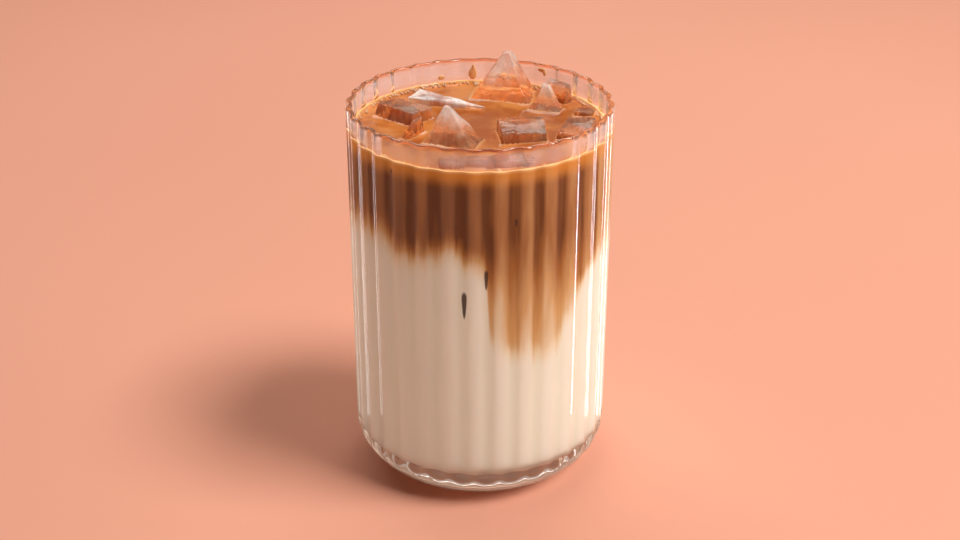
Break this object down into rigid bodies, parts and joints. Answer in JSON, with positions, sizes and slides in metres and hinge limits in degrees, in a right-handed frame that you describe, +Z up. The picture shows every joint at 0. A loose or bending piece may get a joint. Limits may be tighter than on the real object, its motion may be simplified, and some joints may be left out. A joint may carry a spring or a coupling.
{
  "type": "iced latte",
  "caption": "Iced latte in a straight tumbler with fluted sides: milk below, coffee above, and broken ice standing out of the top.",
  "frame": {"origin": "middle of the underside of the glass, on the surface it stands on", "axes": "+Z up along the axis of the glass, front towards -Y, +X to the right seen from the front"},
  "size_m": [0.08, 0.08, 0.125],
  "materials": {
    "clear_glass": "clear, polished, with a rounded rim",
    "milk": "opaque creamy liquid",
    "coffee": "opaque brown liquid, caramel where it meets the milk",
    "ice": "clear wet ice with white frosting and cracks"
  },
  "bodies": {
    "root": {"glass": "clear_glass", "milk": "milk", "coffee": "coffee", "ice_tall": "ice", "ice_blade": "ice", "ice_left": "ice", "ice_lean": "ice", "ice_front": "ice", "ice_shard": "ice", "ice_back": "ice", "ice_block": "ice", "ice_slab": "ice"}
  },
  "joints": []
}
